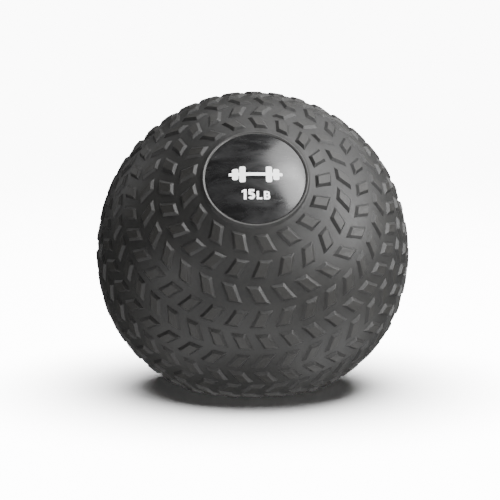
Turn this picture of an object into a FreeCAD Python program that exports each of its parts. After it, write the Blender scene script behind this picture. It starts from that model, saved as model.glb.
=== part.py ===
# Slam ball: a moulded tread shell part filled with sand, with a domed medallion at each pole.
#
# The ball is designed about its own polar axis, which is the local Z of every sub-part, with the
# ball's centre at the local origin. One placement then tips the whole ball: +Z is up, the ball
# stands on its flattened foot at Z = 0, and the front medallion faces -Y and leans back.
import FreeCAD, Part
import math
import os
import Sketcher
from FreeCAD import Placement, Rotation, Vector

doc = FreeCAD.newDocument("SlamBall")

# ---------------------------------------------------------------- driving dimensions
# Millimetres and degrees. Each is written once, here, and everything else is bound to it.
SIZES = [
    # the ball
    ("ball_diameter", 230.0, "over the lugs"),
    ("wall", 9.0, "skin between the lugs"),
    ("sag", 11.0, "how far the foot is pressed flat, measured over the lugs"),
    ("pole_elevation", 31.0, "the front medallion's axis above the horizontal"),
    ("sand_level", 127.0, "height of the sand's level top above the floor"),
    ("fill_clearance", 0.1, "between the sand and whatever holds it"),
    # the tread
    ("lug_height", 1.8, "above the skin"),
    ("lug_width", 10.3, "along the ring, at the skin"),
    ("lug_length", 12.4, "along the meridian, at the skin"),
    ("lug_draft", 50.0, "slope of a lug's walls away from square"),
    ("lug_root", 0.8, "how deep a lug is rooted in the skin"),
    ("lug_spare", 0.4, "padded above the tread, then trimmed to the ball's curve"),
    ("ring_pitch", 8.79, "angle between two rings, the same across the equator"),
    # the medallions
    ("seat_diameter", 68.0, "recess"),
    ("seat_depth", 2.0, "recess below the skin"),
    ("lip_width", 2.4, "raised bead round the recess"),
    ("lip_height", 1.7, "bead above the skin"),
    ("adhesive_thickness", 0.3, "film under a medallion"),
    ("medallion_thickness", 2.6, "at its middle"),
    ("medallion_gap", 0.2, "between a medallion and its recess, all round"),
    ("medallion_edge", 0.4, "rounding of a medallion's rim"),
    # the print
    ("print_thickness", 0.12, "white ink on the front medallion"),
    ("pictogram_length", 36.0, "dumbbell sign"),
    ("pictogram_height", 11.8, "dumbbell sign"),
    ("pictogram_rise", 0.5, "its middle above the medallion's middle"),
    ("figure_height", 7.1, "weight marking"),
    ("figure_stroke", 1.8, "weight marking"),
    ("figure_drop", 14.2, "its middle below the medallion's middle"),
    # the stopper in the rear pole
    ("plug_diameter", 22.0, "barrel"),
    ("plug_head_diameter", 32.0, "head, sunk in the recess floor"),
    ("plug_head_thickness", 2.4, "head"),
    ("cement_thickness", 0.25, "film round the barrel"),
    ("plug_head_gap", 0.2, "between the head and its counterbore, all round"),
]

# One row for each ring of lugs from the front pole to the equator; the rear half mirrors them.
# Lugs in the ring, lean from the meridian (the sign alternates, which gives the herringbone), and
# the turn of its first lug about the polar axis.
RINGS = [
    (17, 21.0, -35.0),
    (23, -24.0, -27.8),
    (27, 29.0, -39.2),
    (33, -27.0, 2.4),
    (37, 27.0, 4.4),
    (39, -31.0, 2.9),
    (41, 30.0, 3.8),
    (43, -30.0, 7.8),
]

sheet = doc.addObject("Spreadsheet::Sheet", "Sizes")
row = 0


def add_size(alias, value, note):
    """Write one driving dimension into the next row of the sheet."""
    global row
    row += 1
    sheet.set(f"A{row}", alias)
    sheet.set(f"B{row}", str(value))
    sheet.set(f"C{row}", note)
    sheet.setAlias(f"B{row}", alias)


for alias, value, note in SIZES:
    add_size(alias, value, note)
for number, (lugs, lean, turn) in enumerate(RINGS, start=1):
    add_size(f"ring_{number}_lugs", lugs, "lugs in the ring")
    add_size(f"ring_{number}_lean", lean, "from the meridian")
    add_size(f"ring_{number}_turn", turn, "of the first lug")
doc.recompute()


def size(alias):
    """The number that a cell of the sheet holds."""
    return float(sheet.get(alias))


# ---------------------------------------------------------------- what follows from them
# Radii from the ball's centre and heights, as expressions on the sheet.
TREAD_R = "Sizes.ball_diameter / 2"
SKIN_R = f"({TREAD_R} - Sizes.lug_height)"
CAVITY_R = f"({SKIN_R} - Sizes.wall)"
SEAT_R = f"({SKIN_R} - Sizes.seat_depth)"
BACK_R = f"({SEAT_R} + Sizes.adhesive_thickness)"
FACE_R = f"({BACK_R} + Sizes.medallion_thickness)"
CENTRE_Z = f"({TREAD_R} - Sizes.sag)"
FOOT_SKIN = "(Sizes.wall + Sizes.lug_height)"
MEDALLION_RIM = "(Sizes.seat_diameter / 2 - Sizes.medallion_gap)"

# Where the ball's own axes stand: the front pole faces -Y and leans back, the rear pole is its opposite.
BALL_PLACE = f"create(<<placement>>; create(<<vector>>; 0; 0; {CENTRE_Z}); create(<<rotation>>; 0; 0; {{lean}}))"
FRONT = BALL_PLACE.format(lean="90deg - Sizes.pole_elevation * 1deg")
REAR = BALL_PLACE.format(lean="270deg - Sizes.pole_elevation * 1deg")


def bound(kind, label, **sizes):
    """A document object with its properties bound to expressions."""
    part = doc.addObject(kind, label)
    for name, expression in sizes.items():
        part.setExpression(name, expression)
    return part


def ball(label, radius):
    return bound("Part::Sphere", label, Radius=radius)


def cylinder(label, radius, height, start="0"):
    """A cylinder on the polar axis, from its start to start + height."""
    part = bound("Part::Cylinder", label, Radius=radius, Height=height)
    part.setExpression("Placement.Base.z", start)
    return part


def cut(label, base, tool):
    part = doc.addObject("Part::Cut", label)
    part.Base = base
    part.Tool = tool
    return part


def common(label, base, tool):
    part = doc.addObject("Part::Common", label)
    part.Base = base
    part.Tool = tool
    return part


def fuse(label, pieces):
    part = doc.addObject("Part::MultiFuse", label)
    part.Shapes = pieces
    part.Refine = False
    return part


def compound(label, pieces):
    part = doc.addObject("Part::Compound", label)
    part.Links = pieces
    return part


def origin_feature(body, role):
    """One of the body's own origin planes or axes."""
    return next(item for item in body.Origin.OriginFeatures if item.Role == role)


def sketch_on(body, role, label):
    sketch = body.newObject("Sketcher::SketchObject", label)
    sketch.AttachmentSupport = [(origin_feature(body, role), "")]
    sketch.MapMode = "FlatFace"
    return sketch


def value(expression):
    """The number that an expression on the sheet gives."""
    return float(sheet.evalExpression(expression))


def tie(sketch, kind, geometry, point, expression):
    """Fix a point's distance from the sketch's origin, along one axis, to an expression."""
    distance = Sketcher.Constraint(kind, -1, 1, geometry, point, value(expression))
    index = sketch.addConstraint(distance)
    sketch.setExpression(f"Constraints[{index}]", expression)


# ---------------------------------------------------------------- tread
def lug_ring(number):
    """One ring: a lozenge padded with drafted walls, then repeated about the polar axis."""
    body = doc.addObject("PartDesign::Body", f"lug_ring_{number}")
    sketch = sketch_on(body, "XY_Plane", f"lug_outline_{number}")
    # The outline lies square to the radius through the lug's middle, its X away from the pole.
    angle = f"(90deg - Sizes.ring_pitch * {len(RINGS) + 0.5 - number}deg)"
    turn = f"(Sizes.ring_{number}_turn * 1deg - 90deg)"
    floor = f"({SKIN_R} - Sizes.lug_root)"
    across = f"{floor} * sin({angle})"
    place = f"create(<<vector>>; {across} * cos({turn}); {across} * sin({turn}); {floor} * cos({angle}))"
    facing = f"create(<<rotation>>; {turn}; {angle}; 0deg)"
    sketch.setExpression("AttachmentOffset", f"create(<<placement>>; {place}; {facing})")
    corners = [Vector(-5, -5), Vector(-5, 5), Vector(5, 5), Vector(5, -5)]
    for index, corner in enumerate(corners):
        sketch.addGeometry(Part.LineSegment(corner, corners[(index + 1) % 4]))
    for index in range(4):
        sketch.addConstraint(Sketcher.Constraint("Coincident", index, 2, (index + 1) % 4, 1))
    root_spread = "2 * Sizes.lug_root * tan(Sizes.lug_draft * 1deg)"
    length = f"(Sizes.lug_length + {root_spread})"
    width = f"(Sizes.lug_width + {root_spread})"
    shift = f"{length} * tan(Sizes.ring_{number}_lean * 1deg)"
    for index, (away, along) in enumerate([(-1, -1), (-1, 1), (1, 1), (1, -1)]):
        tie(sketch, "DistanceX", index, 1, f"{away} * {length} / 2")
        tie(sketch, "DistanceY", index, 1, f"{along} * {width} / 2 + {away} * {shift} / 2")
    pad = body.newObject("PartDesign::Pad", f"lug_{number}")
    pad.Profile = sketch
    pad.setExpression("Length", "Sizes.lug_root + Sizes.lug_height + Sizes.lug_spare")
    pad.setExpression("TaperAngle", "-Sizes.lug_draft * 1deg")
    ring = body.newObject("PartDesign::PolarPattern", f"ring_{number}")
    ring.Originals = [pad]
    ring.Axis = (origin_feature(body, "Z_Axis"), [""])
    ring.Angle = 360
    ring.setExpression("Occurrences", f"Sizes.ring_{number}_lugs")
    body.Tip = ring
    return body


def lip(label, pole):
    """The raised bead round a recess: pole is 1 at the front and -1 at the rear."""
    seat = "Sizes.seat_diameter / 2"
    bead = "Sizes.lip_width / 2"
    part = bound("Part::Torus", label, Radius1=f"{seat} + {bead}", Radius2=bead)
    crown = f"{SKIN_R} + Sizes.lip_height - {bead}"
    height = f"{pole} * sqrt(pow({crown}; 2) - pow({seat} + {bead}; 2))"
    part.setExpression("Placement.Base.z", height)
    return part


def post(label):
    """A cylinder as wide as a recess, from the ball's centre out past its skin."""
    return cylinder(label, "Sizes.seat_diameter / 2", TREAD_R)


def recess(label, pole):
    """The space of a medallion and its adhesive, open outwards."""
    part = cut(label, post(f"{label}_post"), ball(f"{label}_floor", SEAT_R))
    if pole < 0:
        part.Placement = Placement(Vector(), Rotation(Vector(1, 0, 0), 180))
    return part


def in_ball(part, place):
    """Bind a finished piece to the front or the rear pole's place."""
    part.setExpression("Placement", place)
    return part


HEAD_UNDERSIDE = f"(sqrt(pow({SEAT_R}; 2) - pow(Sizes.plug_head_diameter / 2; 2)) - Sizes.plug_head_thickness)"
BORE_START = f"({CAVITY_R} / 2)"
BORE_LENGTH = f"({HEAD_UNDERSIDE} - {BORE_START})"


def plug_hole():
    """The hole that the sand is poured through, with a counterbore for the stopper's head."""
    bore = cylinder("plug_bore", "Sizes.plug_diameter / 2", BORE_LENGTH, BORE_START)
    head_space = "Sizes.plug_head_diameter / 2 + Sizes.plug_head_gap"
    counterbore = cylinder("plug_counterbore", head_space, TREAD_R, HEAD_UNDERSIDE)
    hole = fuse("plug_hole", [bore, counterbore])
    hole.Placement = Placement(Vector(), Rotation(Vector(1, 0, 0), 180))
    return hole


def above(label, height, top=None):
    """A wide block from one height above the floor up to another, or past the top of the ball."""
    side = "2 * Sizes.ball_diameter"
    rise = f"{top} - {height}" if top else side
    block = bound("Part::Box", label, Length=side, Width=side, Height=rise)
    block.setExpression("Placement.Base.x", "-Sizes.ball_diameter")
    block.setExpression("Placement.Base.y", "-Sizes.ball_diameter")
    block.setExpression("Placement.Base.z", height)
    return block


def standing_ball(label, radius):
    """A sphere about the ball's centre, where the ball stands."""
    part = ball(label, radius)
    part.setExpression("Placement.Base.z", CENTRE_Z)
    return part


def tread_shell():
    rings = [lug_ring(number) for number in range(1, len(RINGS) + 1)]
    front_lugs = compound("front_lugs", rings)
    rear_lugs = doc.addObject("Part::Mirroring", "rear_lugs")
    rear_lugs.Source = front_lugs
    rear_lugs.Normal = Vector(0, 0, 1)
    lugs = in_ball(compound("lugs", [front_lugs, rear_lugs]), FRONT)
    # A lug that meets the foot or a recess stops there.
    footed_ball = common("footed_ball", standing_ball("tread_ball", TREAD_R), above("tread_floor", "0"))
    seats = [in_ball(post("front_seat_post"), FRONT), in_ball(post("rear_seat_post"), REAR)]
    trimmed_lugs = common("trimmed_lugs", lugs, cut("tread_limit", footed_ball, fuse("seats", seats)))
    rounds = [ball("skin_ball", SKIN_R), lip("front_lip", 1), lip("rear_lip", -1)]
    openings = fuse("openings", [recess("front_recess", 1), recess("rear_recess", -1), plug_hole()])
    skin = in_ball(cut("opened_skin", fuse("closed_skin", rounds), openings), FRONT)
    cavity = common("cavity", standing_ball("cavity_ball", CAVITY_R), above("cavity_floor", FOOT_SKIN))
    hollow_skin = cut("hollow_skin", common("footed_skin", skin, above("skin_floor", "0")), cavity)
    return fuse("tread_shell", [hollow_skin, trimmed_lugs])


# ---------------------------------------------------------------- what the shell holds
def sand_fill():
    """Loose sand, settled level, a little clear of the shell that holds it."""
    space = standing_ball("sand_ball", f"{CAVITY_R} - Sizes.fill_clearance")
    depth = above("sand_depth", f"({FOOT_SKIN} + Sizes.fill_clearance)", "Sizes.sand_level")
    return common("sand_fill", space, depth)


def fill_plug():
    """A stopper: a barrel and a wider head whose face follows the recess floor."""
    barrel_r = "Sizes.plug_diameter / 2 - Sizes.cement_thickness"
    barrel = cylinder("plug_barrel", barrel_r, BORE_LENGTH, BORE_START)
    head = cylinder("plug_head", "Sizes.plug_head_diameter / 2", TREAD_R, HEAD_UNDERSIDE)
    trimmed = common("plug_trimmed", fuse("plug_blank", [barrel, head]), ball("plug_face", SEAT_R))
    return in_ball(cut("fill_plug", trimmed, ball("plug_end", CAVITY_R)), REAR)


def plug_cement():
    """The film that fills the space between the barrel and its bore."""
    outside = cylinder("cement_outside", "Sizes.plug_diameter / 2", BORE_LENGTH, BORE_START)
    inside_r = "Sizes.plug_diameter / 2 - Sizes.cement_thickness"
    inside = cylinder("cement_inside", inside_r, BORE_LENGTH, BORE_START)
    sleeve = cut("cement_sleeve", outside, inside)
    return in_ball(cut("plug_cement", sleeve, ball("cement_end", CAVITY_R)), REAR)


# ---------------------------------------------------------------- medallions
def medallion(label, place):
    """A disc that curves with the ball: a half profile turned about the axis, its rim rounded."""
    body = doc.addObject("PartDesign::Body", label)
    sketch = sketch_on(body, "XZ_Plane", f"{label}_profile")
    back = value(BACK_R)
    face = value(FACE_R)
    rim = value(MEDALLION_RIM)
    quarter = math.pi / 2
    back_circle = Part.Circle(Vector(), Vector(0, 0, 1), back)
    face_circle = Part.Circle(Vector(), Vector(0, 0, 1), face)
    back_rim = Vector(rim, math.sqrt(back**2 - rim**2))
    face_rim = Vector(rim, math.sqrt(face**2 - rim**2))
    sketch.addGeometry(Part.ArcOfCircle(back_circle, math.acos(rim / back), quarter))
    sketch.addGeometry(Part.LineSegment(back_rim, face_rim))
    sketch.addGeometry(Part.ArcOfCircle(face_circle, math.acos(rim / face), quarter))
    sketch.addGeometry(Part.LineSegment(Vector(0, face), Vector(0, back)))
    for first, first_end, second, second_end in [(0, 1, 1, 1), (1, 2, 2, 1), (2, 2, 3, 1), (3, 2, 0, 2)]:
        sketch.addConstraint(Sketcher.Constraint("Coincident", first, first_end, second, second_end))
    for arc in (0, 2):
        sketch.addConstraint(Sketcher.Constraint("Coincident", arc, 3, -1, 1))
    sketch.addConstraint(Sketcher.Constraint("Vertical", 1))
    sketch.addConstraint(Sketcher.Constraint("PointOnObject", 3, 1, -2))
    sketch.addConstraint(Sketcher.Constraint("PointOnObject", 3, 2, -2))
    tie(sketch, "DistanceX", 1, 1, MEDALLION_RIM)
    tie(sketch, "DistanceY", 3, 2, BACK_R)
    tie(sketch, "DistanceY", 3, 1, FACE_R)
    disc = body.newObject("PartDesign::Revolution", f"{label}_disc")
    disc.Profile = sketch
    disc.ReferenceAxis = (sketch, ["V_Axis"])
    disc.Angle = 360
    doc.recompute()
    # The rim to round is the highest of the edges that run all the way round.
    rims = []
    for index, edge in enumerate(disc.Shape.Edges, start=1):
        if not edge.Degenerated and isinstance(edge.Curve, Part.Circle) and edge.isClosed():
            rims.append((edge.CenterOfMass.z, f"Edge{index}"))
    rounding = body.newObject("PartDesign::Fillet", f"{label}_rim")
    rounding.Base = (disc, [max(rims)[1]])
    rounding.setExpression("Radius", "Sizes.medallion_edge")
    body.Tip = rounding
    return in_ball(body, place)


def adhesive(label, place):
    """The film between a recess's floor and a medallion's back."""
    column = cylinder(f"{label}_column", MEDALLION_RIM, TREAD_R)
    filled = common(f"{label}_filled", column, ball(f"{label}_top", BACK_R))
    return in_ball(cut(label, filled, ball(f"{label}_bottom", SEAT_R)), place)


# ---------------------------------------------------------------- print
# Signs are drawn flat, X to the right and Y up about the medallion's middle, as upright prisms, and
# then kept only where they meet a thin layer on the medallion's curved face.
sign_depth = size("ball_diameter")


def slab(left, bottom, width, height, rounding=0.0):
    """A rectangle, with rounded corners if asked."""
    block = Part.makeBox(width, height, sign_depth, Vector(left, bottom, 0))
    if rounding:
        upright = [edge for edge in block.Edges if abs(edge.Length - sign_depth) < 0.001]
        block = block.makeFillet(rounding, upright)
    return block


def polygon(points):
    """A closed outline of straight lines, filled."""
    corners = [Vector(x, y, 0) for x, y in points]
    return Part.Face(Part.makePolygon(corners + corners[:1])).extrude(Vector(0, 0, sign_depth))


def bowl(centre_x, centre_y, radius, stroke, start, sweep):
    """Part of a round stroke, from a start angle through a sweep, in degrees."""
    middle = Vector(centre_x, centre_y, 0)
    axis = Vector(0, 0, 1)
    rim = Part.makeCylinder(radius, sign_depth, middle, axis, sweep)
    hollow = Part.makeCylinder(radius - stroke, sign_depth, middle, axis, 360)
    part = rim.cut(hollow)
    part.rotate(middle, axis, start)
    return part


def dumbbell(length, height):
    """A dumbbell seen from the side: a bar with a large and a small plate at each end."""
    bar = height * 0.2
    plate = length * 0.115
    gap = length * 0.02
    rounding = plate * 0.3
    pieces = [slab(-length / 2, -bar / 2, length, bar, bar * 0.3)]
    inner = length / 2 - plate * 2 - gap - length * 0.06
    for start, tall in ((inner, height), (inner + plate + gap, height * 0.7)):
        pieces.append(slab(start, -tall / 2, plate, tall, rounding))
        pieces.append(slab(-start - plate, -tall / 2, plate, tall, rounding))
    return pieces


def figure_one(left, base, tall, stroke):
    width = stroke * 1.75
    step = left + width - stroke
    flag = [(left, base + tall * 0.68), (step, base + tall * 0.78), (step, base + tall * 0.97)]
    return [slab(step, base, stroke, tall), polygon(flag + [(left, base + tall * 0.87)])], width


def figure_five(left, base, tall, stroke):
    radius = tall * 0.335
    width = radius * 1.86
    middle = left + width - radius
    pieces = [
        slab(left + stroke * 0.1, base + tall - stroke * 0.9, width - stroke * 0.3, stroke * 0.9),
        slab(left + stroke * 0.1, base + radius * 1.45, stroke * 0.95, tall - radius * 1.45),
        slab(left + stroke * 0.6, base + radius * 2 - stroke, middle - left - stroke * 0.6, stroke),
        bowl(middle, base + radius, radius, stroke, -150, 240),
    ]
    return pieces, width


def letter_l(left, base, tall, stroke):
    width = tall * 0.64
    return [slab(left, base, stroke, tall), slab(left, base, width, stroke * 0.9)], width


def letter_b(left, base, tall, stroke):
    lower = tall * 0.29
    upper = (tall + stroke * 0.8 - lower * 2) / 2
    width = tall * 0.72
    pieces = [slab(left, base, stroke, tall)]
    for radius, middle_y, middle_x in (
        (lower, base + lower, left + width - lower),
        (upper, base + tall - upper, left + width * 0.95 - upper),
    ):
        reach = middle_x - left
        pieces.append(slab(left, middle_y - radius, reach, stroke * 0.8))
        pieces.append(slab(left, middle_y + radius - stroke * 0.8, reach, stroke * 0.8))
        pieces.append(bowl(middle_x, middle_y, radius, stroke * 0.8, -90, 180))
    return pieces, width


def weight_figures(tall, stroke, middle_y):
    """The weight and its unit in plain strokes, set in one line about the middle."""
    space = stroke * 0.65
    small = 0.81
    line = [
        (figure_one, tall, stroke),
        (figure_five, tall, stroke),
        (letter_l, tall * small, stroke * small),
        (letter_b, tall * small, stroke * small),
    ]
    widths = [draw(0, 0, high, thick)[1] for draw, high, thick in line]
    left = -(sum(widths) + space * (len(line) - 1)) / 2
    pieces = []
    for (draw, high, thick), width in zip(line, widths):
        pieces += draw(left, middle_y - tall / 2, high, thick)[0]
        left += width + space
    return pieces


def printed(label, pieces, place):
    """Ink: the sign's prisms, joined, where they meet the layer on the medallion's face."""
    sign = pieces[0].multiFuse(pieces[1:])
    face = value(FACE_R)
    layer = Part.makeSphere(face + size("print_thickness")).cut(Part.makeSphere(face))
    part = doc.addObject("Part::Feature", label)
    part.Shape = sign.common(layer)
    return in_ball(part, place)


# ---------------------------------------------------------------- assembly
pictogram = [
    shape.translated(Vector(0, size("pictogram_rise"), 0))
    for shape in dumbbell(size("pictogram_length"), size("pictogram_height"))
]
figures = weight_figures(size("figure_height"), size("figure_stroke"), -size("figure_drop"))

parts = [
    medallion("front_medallion", FRONT),
    adhesive("front_medallion_adhesive", FRONT),
    medallion("rear_medallion", REAR),
    adhesive("rear_medallion_adhesive", REAR),
    sand_fill(),
    fill_plug(),
    plug_cement(),
    tread_shell(),
    printed("medallion_pictogram", pictogram, FRONT),
    printed("weight_marking", figures, FRONT),
]
doc.recompute()

# ---------------------------------------------------------------- checks and files
for item in doc.Objects:
    if "Invalid" in item.State or "Error" in item.State:
        raise RuntimeError(f"{item.Label} could not be made: {item.State}")
for part in parts:
    if part.Shape.isNull() or not part.Shape.isValid():
        raise RuntimeError(f"{part.Label} has no valid shape")

os.makedirs("parts", exist_ok=True)
for part in parts:
    part.Shape.exportStep(f"parts/{part.Label}.step")
    print(part.Label, len(part.Shape.Solids), "solid(s)", round(part.Shape.Volume), "mm3")
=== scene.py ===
import math

import bmesh
import bpy
from mathutils import Matrix, Vector


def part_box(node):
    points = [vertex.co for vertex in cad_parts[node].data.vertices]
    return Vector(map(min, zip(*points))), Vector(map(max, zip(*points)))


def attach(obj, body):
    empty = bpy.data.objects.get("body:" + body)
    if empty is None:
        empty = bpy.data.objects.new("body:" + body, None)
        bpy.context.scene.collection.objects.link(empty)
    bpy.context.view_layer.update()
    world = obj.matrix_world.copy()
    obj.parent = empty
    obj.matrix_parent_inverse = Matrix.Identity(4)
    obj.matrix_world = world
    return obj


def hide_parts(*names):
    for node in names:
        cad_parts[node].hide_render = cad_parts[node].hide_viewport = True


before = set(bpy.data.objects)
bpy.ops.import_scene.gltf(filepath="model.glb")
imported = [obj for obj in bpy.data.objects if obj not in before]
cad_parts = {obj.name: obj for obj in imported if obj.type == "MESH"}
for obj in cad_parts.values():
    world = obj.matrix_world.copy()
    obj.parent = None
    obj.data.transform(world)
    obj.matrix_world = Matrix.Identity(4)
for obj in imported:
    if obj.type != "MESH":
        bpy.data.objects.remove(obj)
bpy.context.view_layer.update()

# ---------------------------------------------------------------- the ball, in metres
shell_low, shell_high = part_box("tread_shell")
TREAD_R = max(shell_high.y - shell_low.y, shell_high.x - shell_low.x) / 2
CENTRE = Vector((0, 0, shell_high.z - TREAD_R))
POLE_ELEVATION = math.radians(31)

LUG_HEIGHT = 0.0018
LUG_WIDTH = 0.0103
LUG_LENGTH = 0.0127
LUG_SIDE_RUN = 0.0024
LUG_END_RUN = 0.0020
RING_PITCH = math.radians(8.79)
# Lugs in a ring, their lean from the meridian and the turn of the first, in degrees, pole to equator.
RINGS = [
    (17, 21.0, -35.0),
    (23, -24.0, -27.8),
    (27, 29.0, -39.2),
    (33, -27.0, 2.4),
    (37, 27.0, 4.4),
    (39, -31.0, 2.9),
    (41, 30.0, 3.8),
    (43, -30.0, 7.8),
]

SKIN_R = TREAD_R - LUG_HEIGHT
WALL = 0.009
CAVITY_R = SKIN_R - WALL
SEAT_X = 0.034
SEAT_DEPTH = 0.002
SEAT_R = SKIN_R - SEAT_DEPTH
ADHESIVE = 0.0003
DISC = 0.0026
BACK_R = SEAT_R + ADHESIVE
FACE_R = BACK_R + DISC
DISC_GAP = 0.0002
DISC_EDGE = 0.0004
DISC_EDGE_TURN = math.radians(76)
# The lip round a recess, from its inner edge outwards: how far out, and how high above the skin.
LIP = [
    (0.0, 0.0007),
    (0.0001, 0.0008),
    (0.0006, 0.0013),
    (0.0012, 0.0018),
    (0.0015, 0.0019),
    (0.0018, 0.0017),
    (0.0022, 0.0010),
    (0.0026, 0.0004),
    (0.0032, 0.0),
]
# How far out from the recess wall the glossy part of the lip, with its painted highlight, reaches.
LIP_CREST = 0.0017
PLUG_BORE_X = 0.011
PLUG_HEAD_X = 0.0162
PLUG_HEAD_DEPTH = 0.0024

# The ball's own axes: Z out of the front disc, which faces -Y and leans back.
BALL_TO_WORLD = Matrix.Translation(CENTRE) @ Matrix.Rotation(math.pi / 2 - POLE_ELEVATION, 4, "X")
TO_REAR = Matrix.Rotation(math.pi, 4, "X")
FRONT_AXIS = (BALL_TO_WORLD.to_3x3() @ Vector((0, 0, 1))).normalized()


# ---------------------------------------------------------------- mesh helpers
MERGE = 1e-6


def into_scene(bm, name):
    """Point the faces one way and put the mesh in the scene."""
    bmesh.ops.recalc_face_normals(bm, faces=bm.faces[:])
    mesh = bpy.data.meshes.new(name)
    bm.to_mesh(mesh)
    bm.free()
    item = bpy.data.objects.new(name, mesh)
    bpy.context.scene.collection.objects.link(item)
    return item


def finish_piece(bm, name):
    """Close doubles, point the faces outwards and let the new piece ride on the ball."""
    bmesh.ops.remove_doubles(bm, verts=bm.verts[:], dist=MERGE)
    piece = into_scene(bm, name)
    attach(piece, "root")
    return piece


def start_at(bm, x, z):
    """The first point of a half profile: x from the polar axis, z along it."""
    return bmesh.ops.create_vert(bm, co=(x, 0, z))["vert"][0]


def straight(bm, point, x, z):
    """Carry the profile on in a straight line."""
    point = bmesh.ops.extrude_vert_indiv(bm, verts=[point])["verts"][0]
    point.co = (x, 0, z)
    return point


def arc(bm, point, centre_x, centre_z, angle, steps):
    """Carry the profile on along an arc, turning from +Z towards +X for a positive angle."""
    made = bmesh.ops.spin(
        bm, geom=[point], cent=(centre_x, 0, centre_z), axis=(0, 1, 0), angle=angle, steps=steps
    )
    return [item for item in made["geom_last"] if isinstance(item, bmesh.types.BMVert)][0]


def turn_profile(bm, steps):
    """Spin the whole half profile about the polar axis and close it on itself."""
    bmesh.ops.spin(
        bm, geom=bm.verts[:] + bm.edges[:], cent=(0, 0, 0), axis=(0, 0, 1), angle=math.tau,
        steps=steps, use_merge=True,
    )
    bmesh.ops.remove_doubles(bm, verts=bm.verts[:], dist=MERGE)
    for face in bm.faces:
        face.smooth = True


def lean_at(radius, x):
    """Angle from the pole of a point on a sphere, x from the axis."""
    return math.asin(x / radius)


# ---------------------------------------------------------------- sag
# Swell and slump are shares of the radius. Their angles are measured up from straight down, and the
# seat's two, which keep the discs' surroundings round, from the polar axis. The foot's blend is in
# metres. A point is on the underside when its direction from the centre falls below this height.
FOOT_BLEND = 0.004
UNDERSIDE = -0.1
BULGE = 0.017
BULGE_ANGLE = math.radians(54)
BULGE_SPREAD = math.radians(24)
SWELL_TO = math.radians(66)
SWELL_FADE = math.radians(20)
SLUMP = 0.013
SLUMP_FROM = math.radians(80)
SLUMP_FADE = math.radians(25)
SEAT_CLEAR = math.radians(20)
SEAT_FADE = math.radians(14)


def smooth_step(value):
    """Ease from 0 to 1 as the value goes from 0 to 1."""
    value = min(max(value, 0.0), 1.0)
    return value * value * (3 - 2 * value)


def settle(bm):
    """Press the underside flat on its lug tops, and let the sides swell and the top slump a little."""
    for vert in bm.verts:
        out = vert.co - CENTRE
        radius = out.length
        out.normalize()
        down = math.acos(min(max(-out.z, -1.0), 1.0))
        swell = BULGE * math.exp(-(((down - BULGE_ANGLE) / BULGE_SPREAD) ** 2))
        swell *= 1 - smooth_step((down - SWELL_TO) / SWELL_FADE)
        slump = SLUMP * smooth_step((down - SLUMP_FROM) / SLUMP_FADE)
        pole_angle = min(out.angle(FRONT_AXIS), out.angle(-FRONT_AXIS))
        free = radius * (1 + (swell - slump) * smooth_step((pole_angle - SEAT_CLEAR) / SEAT_FADE))
        if out.z < UNDERSIDE:
            flat = (CENTRE.z - LUG_HEIGHT + radius - SKIN_R) / -out.z
            near = max(FOOT_BLEND - abs(free - flat), 0.0) / FOOT_BLEND
            free = min(free, flat) - near * near * FOOT_BLEND / 4
        vert.co = CENTRE + out * free


# ---------------------------------------------------------------- tread shell
SKIN_STEPS = 96
ROUND_STEPS = 216
POLISH_MARGIN = 0.0001


def lip_profile(bm, point, pole):
    """A recess wall and its lip, outwards from the recess floor in front and inwards at the rear."""
    stations = [(SEAT_X + out, SKIN_R + rise) for out, rise in LIP]
    if pole < 0:
        stations = stations[::-1]
    for x, radius in stations:
        point = straight(bm, point, x, pole * math.sqrt(radius**2 - x**2))
    if pole < 0:
        point = straight(bm, point, SEAT_X, -math.sqrt(SEAT_R**2 - SEAT_X**2))
    return point


def shell_skin():
    """The moulded wall: recess, lip, skin, rear lip, rear recess, plug hole and the cavity inside.

    The inner side and crest of each lip are marked, for their glossier finish and their painted
    highlight.
    """
    bm = bmesh.new()
    point = start_at(bm, 0, SEAT_R)
    seat_lean = lean_at(SEAT_R, SEAT_X)
    point = arc(bm, point, 0, 0, seat_lean, 8)
    point = lip_profile(bm, point, 1)
    skin_lean = math.atan2(point.co.x, point.co.z)
    point = arc(bm, point, 0, 0, math.pi - 2 * skin_lean, SKIN_STEPS)
    point = lip_profile(bm, point, -1)
    head_lean = lean_at(SEAT_R, PLUG_HEAD_X)
    point = arc(bm, point, 0, 0, seat_lean - head_lean, 5)
    head_z = point.co.z + PLUG_HEAD_DEPTH
    point = straight(bm, point, PLUG_HEAD_X, head_z)
    point = straight(bm, point, PLUG_BORE_X, head_z)
    bore_z = -math.sqrt(CAVITY_R**2 - PLUG_BORE_X**2)
    point = straight(bm, point, PLUG_BORE_X, bore_z)
    arc(bm, point, 0, 0, -(math.pi - lean_at(CAVITY_R, PLUG_BORE_X)), SKIN_STEPS // 2)
    turn_profile(bm, ROUND_STEPS)
    # Marks the lips' inner side and crest, where the finish is glossier and a highlight is painted.
    gloss_and_painted_highlight = bm.verts.layers.float.new("lip_gloss_and_painted_highlight")
    for vert in bm.verts:
        out = math.hypot(vert.co.x, vert.co.y) - SEAT_X
        proud = vert.co.length > SKIN_R + POLISH_MARGIN
        vert[gloss_and_painted_highlight] = float(proud and -POLISH_MARGIN < out < LIP_CREST)
    bm.transform(BALL_TO_WORLD)
    settle(bm)
    return finish_piece(bm, "shell_skin")


# Rows of a lug from its flat top outwards: how far out, as a share of the wall's run, and how high,
# as a share of the lug's height. The last row is sunk in the skin. The wall itself is shaded flat.
LUG_ROWS = [
    (0.05, 0.985),
    (0.16, 0.90),
    (0.98, 0.02),
    (1.06, -0.08),
]
WALL_ROW = 2
CORNER = 0.0003
LUG_FAN = 0.5


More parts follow.
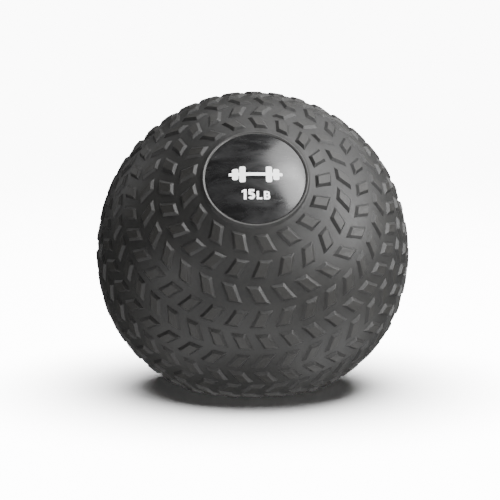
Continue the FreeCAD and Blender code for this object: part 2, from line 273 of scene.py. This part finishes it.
def lug_shape():
    """One upright closed lug about the origin: a flat top and plain drafted walls, its edges broken."""
    bm = bmesh.new()
    top_width = LUG_WIDTH - 2 * LUG_SIDE_RUN
    top_length = LUG_LENGTH - 2 * LUG_END_RUN
    bmesh.ops.create_grid(bm, x_segments=1, y_segments=1, size=0.5)
    bmesh.ops.scale(bm, vec=(top_width, top_length, 1), verts=bm.verts[:])
    bmesh.ops.bevel(
        bm, geom=bm.verts[:], offset=CORNER, segments=1, profile=0.5, affect="VERTICES", material=-1
    )
    bmesh.ops.translate(bm, vec=(0, 0, LUG_HEIGHT), verts=bm.verts[:])
    rim = bm.edges[:]
    width = top_width
    length = top_length
    height = LUG_HEIGHT
    for row, (share, level) in enumerate(LUG_ROWS):
        made = bmesh.ops.extrude_edge_only(bm, edges=rim)["geom"]
        verts = [item for item in made if isinstance(item, bmesh.types.BMVert)]
        wider = top_width + 2 * share * LUG_SIDE_RUN
        longer = top_length + 2 * share * LUG_END_RUN
        bmesh.ops.scale(bm, vec=(wider / width, longer / length, 1), verts=verts)
        bmesh.ops.translate(bm, vec=(0, 0, level * LUG_HEIGHT - height), verts=verts)
        for item in made:
            if isinstance(item, bmesh.types.BMFace):
                item.smooth = row != WALL_ROW
        rim = [item for item in made if isinstance(item, bmesh.types.BMEdge) and item.is_boundary]
        width = wider
        length = longer
        height = level * LUG_HEIGHT
    bmesh.ops.contextual_create(bm, geom=rim)
    mesh = bpy.data.meshes.new("lug_shape")
    bm.to_mesh(mesh)
    bm.free()
    return mesh


def place_lug(verts, theta, psi, lean, side):
    """Wrap one upright lug onto the skin, theta from the pole and psi round it.

    It leans from the meridian and widens away from the pole half as fast as the meridians spread.
    A side of 1 is the front half and -1 the rear half.
    """
    round_pole = Vector((math.cos(psi), math.sin(psi), 0))
    outward = round_pole * math.sin(theta) + Vector((0, 0, math.cos(theta)))
    away = round_pole * math.cos(theta) - Vector((0, 0, math.sin(theta)))
    along = Vector((-math.sin(psi), math.cos(psi), 0))
    fan = LUG_FAN / (SKIN_R * math.tan(theta))
    for vert in verts:
        across, down, rise = vert.co
        across = across * (1 + fan * down) + down * math.tan(lean)
        point = outward * SKIN_R + away * down + along * across
        point = point.normalized() * (SKIN_R + rise)
        point.z *= side
        vert.co = point


def tread_lugs():
    """Every lug of every ring, front half and mirrored rear half, in one mesh.

    Each point keeps its height on the lug, as a share, for the finish.
    """
    bm = bmesh.new()
    shape = lug_shape()
    rises = []
    for side in (1, -1):
        for index, (lugs, lean, turn) in enumerate(RINGS):
            theta = math.pi / 2 - RING_PITCH * (len(RINGS) - 0.5 - index)
            for step in range(lugs):
                before = len(bm.verts)
                bm.from_mesh(shape)
                bm.verts.ensure_lookup_table()
                verts = bm.verts[before:]
                rises.extend(vert.co.z / LUG_HEIGHT for vert in verts)
                psi = math.radians(turn - 90) + math.tau * step / lugs
                place_lug(verts, theta, psi, math.radians(lean), side)
    rise = bm.verts.layers.float.new("lug_rise")
    for vert, value in zip(bm.verts, rises):
        vert[rise] = value
    bm.transform(BALL_TO_WORLD)
    settle(bm)
    return finish_piece(bm, "tread_lugs")


# ---------------------------------------------------------------- discs
def medallion(name, turn):
    """A disc that curves with the ball, its rim rounded over."""
    bm = bmesh.new()
    rim_x = SEAT_X - DISC_GAP
    point = start_at(bm, 0, BACK_R)
    point = arc(bm, point, 0, 0, lean_at(BACK_R, rim_x), 10)
    crown_x = rim_x - DISC_EDGE
    crown_z = math.sqrt(FACE_R**2 - crown_x**2) - DISC_EDGE
    point = straight(bm, point, rim_x, crown_z)
    point = arc(bm, point, crown_x, crown_z, -DISC_EDGE_TURN, 6)
    face_lean = math.atan2(point.co.x, point.co.z)
    arc(bm, point, 0, 0, -face_lean, 26)
    turn_profile(bm, 160)
    bm.transform(BALL_TO_WORLD @ turn)
    return finish_piece(bm, name)


# ---------------------------------------------------------------- materials
# The range that most of a noise pattern lies in.
NOISE_RANGE = (0.3, 0.7)
# Sockets of a mix node, which has a set for each kind of value.
MIX_FACTOR = 0
MIX_FLOATS = (2, 3)
MIX_COLOURS = (6, 7)
MIXED_FLOAT = 0
MIXED_COLOUR = 2
ROUGHNESS_SPREAD = 0.06


def new_material(name):
    """A material with its nodes, its links and its surface shader."""
    material = bpy.data.materials.new(name)
    material.use_nodes = True
    nodes = material.node_tree.nodes
    return material, nodes, material.node_tree.links, nodes["Principled BSDF"]


def noise(nodes, links, where, scale, detail, roughness=0.5):
    """A noise pattern on Object coordinates, its scale in repeats to the metre."""
    texture = nodes.new("ShaderNodeTexNoise")
    texture.inputs["Scale"].default_value = scale
    texture.inputs["Detail"].default_value = detail
    texture.inputs["Roughness"].default_value = roughness
    links.new(where.outputs["Object"], texture.inputs["Vector"])
    return texture.outputs["Fac"]


def remap(nodes, links, source, low, high, start=0.0, end=1.0):
    """Carry a value's range low to high onto start to end."""
    node = nodes.new("ShaderNodeMapRange")
    node.inputs["From Min"].default_value = low
    node.inputs["From Max"].default_value = high
    node.inputs["To Min"].default_value = start
    node.inputs["To Max"].default_value = end
    links.new(source, node.inputs["Value"])
    return node.outputs["Result"]


def blend_colour(nodes, links, factor, first, second):
    """Mix two colours, each a tuple or a socket, by a factor socket."""
    node = nodes.new("ShaderNodeMix")
    node.data_type = "RGBA"
    links.new(factor, node.inputs[MIX_FACTOR])
    for socket, colour in zip(MIX_COLOURS, (first, second)):
        if isinstance(colour, tuple):
            node.inputs[socket].default_value = (*colour, 1)
        else:
            links.new(colour, node.inputs[socket])
    return node.outputs[MIXED_COLOUR]


def bump(nodes, links, heights, shader):
    """Stack bumps, each a height socket, a strength and a depth in metres."""
    normal = None
    for height, strength, depth in heights:
        node = nodes.new("ShaderNodeBump")
        node.inputs["Strength"].default_value = strength
        node.inputs["Distance"].default_value = depth
        links.new(height, node.inputs["Height"])
        if normal:
            links.new(normal, node.inputs["Normal"])
        normal = node.outputs["Normal"]
    links.new(normal, shader.inputs["Normal"])


def tread_rubber():
    """Satin moulded rubber with a fine grain, a little browner on lug tops, and on the lips glossier,
    with a painted highlight.
    """
    material, nodes, links, shader = new_material("tread_rubber")
    where = nodes.new("ShaderNodeTexCoord")
    blotch = noise(nodes, links, where, 24, 3)
    mottle = noise(nodes, links, where, 420, 4, 0.6)
    grain = noise(nodes, links, where, 2600, 2)
    peel = noise(nodes, links, where, 900, 2)
    rise = nodes.new("ShaderNodeAttribute")
    rise.attribute_name = "lug_rise"
    patchy = remap(nodes, links, blotch, *NOISE_RANGE)
    skin = blend_colour(nodes, links, patchy, (0.0265, 0.0267, 0.0264), (0.034, 0.0338, 0.0326))
    specks = remap(nodes, links, mottle, 0.35, 0.75, 0.0, 0.35)
    skin = blend_colour(nodes, links, specks, skin, (0.050, 0.0485, 0.0455))
    top = remap(nodes, links, rise.outputs["Fac"], 0.9, 1.0, 0.0, 0.6)
    colour = blend_colour(nodes, links, top, skin, (0.040, 0.0387, 0.0358))
    # The lips' inner side and crest get a lighter colour here, which is a painted highlight for the
    # lip's bright line. Their lower roughness below is real gloss.
    gloss_and_painted_highlight = nodes.new("ShaderNodeAttribute")
    gloss_and_painted_highlight.attribute_name = "lip_gloss_and_painted_highlight"
    colour = blend_colour(nodes, links, gloss_and_painted_highlight.outputs["Fac"], colour, (0.085, 0.084, 0.082))
    links.new(colour, shader.inputs["Base Color"])
    dulled = remap(nodes, links, mottle, *NOISE_RANGE, 0.38, 0.50)
    worn = nodes.new("ShaderNodeMix")
    worn.data_type = "FLOAT"
    links.new(gloss_and_painted_highlight.outputs["Fac"], worn.inputs[MIX_FACTOR])
    links.new(dulled, worn.inputs[MIX_FLOATS[0]])
    worn.inputs[MIX_FLOATS[1]].default_value = 0.22
    links.new(worn.outputs[MIXED_FLOAT], shader.inputs["Roughness"])
    shader.inputs["Specular IOR Level"].default_value = 0.5
    bump(nodes, links, [(peel, 0.2, 0.0001), (grain, 0.3, 0.00005)], shader)
    return material


def medallion_gloss():
    """Polished black plastic, hazed by handling, with long faint wipe marks."""
    material, nodes, links, shader = new_material("medallion_gloss")
    where = nodes.new("ShaderNodeTexCoord")
    stretch = nodes.new("ShaderNodeMapping")
    stretch.inputs["Rotation"].default_value = (0, math.radians(12), 0)
    stretch.inputs["Scale"].default_value = (0.35, 1, 1)
    links.new(where.outputs["Object"], stretch.inputs["Vector"])
    wiped = nodes.new("ShaderNodeTexNoise")
    wiped.inputs["Scale"].default_value = 90
    wiped.inputs["Detail"].default_value = 6
    wiped.inputs["Roughness"].default_value = 0.62
    wiped.inputs["Distortion"].default_value = 0.6
    links.new(stretch.outputs["Vector"], wiped.inputs["Vector"])
    haze = remap(nodes, links, wiped.outputs["Fac"], 0.38, 0.68)
    colour = blend_colour(nodes, links, haze, (0.016, 0.016, 0.0165), (0.054, 0.054, 0.055))
    links.new(colour, shader.inputs["Base Color"])
    dulled = remap(nodes, links, haze, 0.0, 1.0, 0.16, 0.28)
    links.new(dulled, shader.inputs["Roughness"])
    shader.inputs["Specular IOR Level"].default_value = 0.9
    return material


def plain_finish(name, colour, darker, scale, roughness, depth):
    """A plain matt finish with a small variation of colour and a slight texture."""
    material, nodes, links, shader = new_material(name)
    where = nodes.new("ShaderNodeTexCoord")
    pattern = noise(nodes, links, where, scale, 4, 0.6)
    patchy = remap(nodes, links, pattern, *NOISE_RANGE)
    links.new(blend_colour(nodes, links, patchy, colour, darker), shader.inputs["Base Color"])
    smoothest = roughness - ROUGHNESS_SPREAD
    dullest = roughness + ROUGHNESS_SPREAD
    dulled = remap(nodes, links, pattern, *NOISE_RANGE, smoothest, dullest)
    links.new(dulled, shader.inputs["Roughness"])
    bump(nodes, links, [(pattern, 0.3, depth)], shader)
    return material


# The glow starts and is full at these distances from where the ball stands. Its rise paints the soft
# outer edge of the ball's shadow on the floor.
GLOW_FROM = 0.075
GLOW_FULL = 0.24
GLOW = 10.0


def floor_white():
    """White paper that glows from round the ball's foot outwards, so that it is white in every view.
    The glow's fade towards the foot is painted shadow.
    """
    material, nodes, links, shader = new_material("floor_white")
    where = nodes.new("ShaderNodeTexCoord")
    pattern = noise(nodes, links, where, 9, 3)
    colour = blend_colour(nodes, links, pattern, (0.93, 0.93, 0.93), (0.95, 0.95, 0.95))
    links.new(colour, shader.inputs["Base Color"])
    shader.inputs["Roughness"].default_value = 0.7
    reach = nodes.new("ShaderNodeVectorMath")
    reach.operation = "LENGTH"
    links.new(where.outputs["Object"], reach.inputs[0])
    # Painted light: the floor glows, and the glow fades out towards the ball's foot as painted shadow.
    glow = nodes.new("ShaderNodeMapRange")
    glow.interpolation_type = "SMOOTHSTEP"
    glow.inputs["From Min"].default_value = GLOW_FROM
    glow.inputs["From Max"].default_value = GLOW_FULL
    glow.inputs["To Max"].default_value = GLOW
    links.new(reach.outputs["Value"], glow.inputs["Value"])
    shader.inputs["Emission Color"].default_value = (1, 1, 1, 1)
    links.new(glow.outputs["Result"], shader.inputs["Emission Strength"])
    return material


def finish_with(piece, material):
    """Give a piece this one material."""
    piece.data.materials.clear()
    piece.data.materials.append(material)


# ---------------------------------------------------------------- assembly
rubber = tread_rubber()
gloss = medallion_gloss()
print_white = plain_finish("white_print", (0.96, 0.96, 0.96), (0.90, 0.90, 0.90), 900, 0.45, 0.00001)
glue = plain_finish("adhesive_film", (0.70, 0.66, 0.55), (0.60, 0.55, 0.44), 300, 0.5, 0.00003)
sand = plain_finish("loose_sand", (0.62, 0.52, 0.38), (0.45, 0.36, 0.25), 1400, 0.85, 0.0006)

skin = shell_skin()
lugs = tread_lugs()
for piece in (skin, lugs):
    finish_with(piece, rubber)
    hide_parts("tread_shell")

for name, node, turn in (
    ("front_disc", "front_medallion", Matrix.Identity(4)),
    ("rear_disc", "rear_medallion", TO_REAR),
):
    disc = medallion(name, turn)
    finish_with(disc, gloss)
    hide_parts(node)

for node, material in (
    ("medallion_pictogram", print_white),
    ("weight_marking", print_white),
    ("front_medallion_adhesive", glue),
    ("rear_medallion_adhesive", glue),
    ("plug_cement", glue),
    ("fill_plug", rubber),
    ("sand_fill", sand),
):
    finish_with(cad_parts[node], material)


# ---------------------------------------------------------------- stage, lights and camera
FLOOR_R = 3
FLOOR_CURVE = 1
BACKDROP_HEIGHT = 6
AIM_POINT = CENTRE + Vector((-0.0018, 0, -0.0028))


def backdrop():
    """A round pale floor that sweeps up all round, like a bowl."""
    bm = bmesh.new()
    point = start_at(bm, 0, 0)
    point = straight(bm, point, FLOOR_R, 0)
    point = arc(bm, point, FLOOR_R, FLOOR_CURVE, -math.pi / 2, 16)
    straight(bm, point, FLOOR_R + FLOOR_CURVE, BACKDROP_HEIGHT)
    turn_profile(bm, 96)
    sweep = into_scene(bm, "backdrop")
    sweep.visible_diffuse = False
    sweep.visible_glossy = False
    return sweep


def place_and_aim(item, azimuth, elevation, distance, target):
    """Put a lamp or camera round the ball's centre; azimuth turns from the front towards the right."""
    side = math.radians(azimuth)
    lift = math.radians(elevation)
    level = Vector((math.sin(side), -math.cos(side), 0)) * math.cos(lift)
    item.location = CENTRE + (level + Vector((0, 0, math.sin(lift)))) * distance
    item.rotation_euler = (target - item.location).to_track_quat("-Z", "Y").to_euler()


def softbox(name, azimuth, elevation, distance, width, height, power):
    """A soft light that faces the ball."""
    light = bpy.data.lights.new(name, "AREA")
    light.shape = "RECTANGLE"
    light.size = width
    light.size_y = height
    light.energy = power
    lamp = bpy.data.objects.new(name, light)
    bpy.context.scene.collection.objects.link(lamp)
    place_and_aim(lamp, azimuth, elevation, distance, CENTRE)
    return lamp


def pieces_called(name, pieces):
    """A collection that lamps can be linked to, outside the scene."""
    group = bpy.data.collections.new(name)
    for piece in pieces:
        group.objects.link(piece)
    return group


def link_lamps(lamps, lit, shading=None):
    """Let lamps light these pieces only and, where shading is given, let only those cast shadows."""
    for lamp in lamps:
        lamp.light_linking.receiver_collection = lit
        if shading:
            lamp.light_linking.blocker_collection = shading


def camera():
    """The camera, a little above the ball's centre and a hair to its left."""
    camera_data = bpy.data.cameras.new("camera")
    camera_data.lens = 112.5
    camera_data.sensor_width = 36
    item = bpy.data.objects.new("camera", camera_data)
    bpy.context.scene.collection.objects.link(item)
    place_and_aim(item, azimuth=-1.3, elevation=6.15, distance=1.15, target=AIM_POINT)
    bpy.context.scene.camera = item


sweep = backdrop()
finish_with(sweep, floor_white())
# The ball's lamps light and shade only the ball, and the floor has its own, so that one doesn't
# spoil the other. Each lamp: name, azimuth, elevation, distance, width, height and power.
ball_pieces = [item for item in bpy.context.scene.objects if item.type == "MESH" and item != sweep]
prints = [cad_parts["medallion_pictogram"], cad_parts["weight_marking"]]
whole_ball = pieces_called("whole_ball", ball_pieces)
ball_lamps = [
    softbox("key", 65, 54, 1.6, 0.95, 1.3, 19),
    softbox("key_edge", 38, 45, 1.6, 0.5, 0.9, 12),
    softbox("side", 100, 36, 1.6, 0.9, 1.0, 8),
    softbox("side_low", 80, 18, 1.6, 0.6, 0.5, 10),
    softbox("back_right", 140, 42, 1.6, 0.95, 0.9, 3),
    softbox("back_top", 180, 66, 1.6, 1.2, 0.9, 4),
    softbox("back_left", -125, 25, 1.6, 0.9, 0.9, 2),
    softbox("front_fill", 0, -4, 1.6, 1.4, 0.4, 3),
    softbox("right_fill", 54, 6, 1.6, 1.4, 0.4, 12),
    softbox("left_fill", -55, -12, 1.6, 1.4, 0.4, 5),
    softbox("bounce_front", 0, -50, 1.3, 1.2, 1.0, 6),
    softbox("bounce_right", 90, -50, 1.3, 1.2, 1.0, 6),
    softbox("bounce_left", -70, -50, 1.3, 1.2, 1.0, 4),
]
link_lamps(ball_lamps, whole_ball, whole_ball)
# These two would glare in the glossy discs, so one lights the tread alone and one the print alone.
top_lamp = softbox("top", 40, 80, 1.6, 1.2, 1.0, 8)
link_lamps([top_lamp], pieces_called("tread", [skin, lugs]), whole_ball)
print_lamp = softbox("print_light", 0, 31, 1.6, 1.0, 1.0, 45)
link_lamps([print_lamp], pieces_called("prints", prints), whole_ball)
floor_lamps = [
    softbox("floor_light", 150, 88, 1.5, 1.8, 1.8, 120),
    softbox("floor_side", 100, 72, 1.5, 1.0, 1.0, 30),
]
link_lamps(floor_lamps, pieces_called("floor", [sweep]))
camera()

world = bpy.data.worlds.new("room")
world.use_nodes = True
room_light = world.node_tree.nodes["Background"]
room_light.inputs["Color"].default_value = (1, 1, 1, 1)
room_light.inputs["Strength"].default_value = 0.05
bpy.context.scene.world = world

bpy.context.view_layer.update()
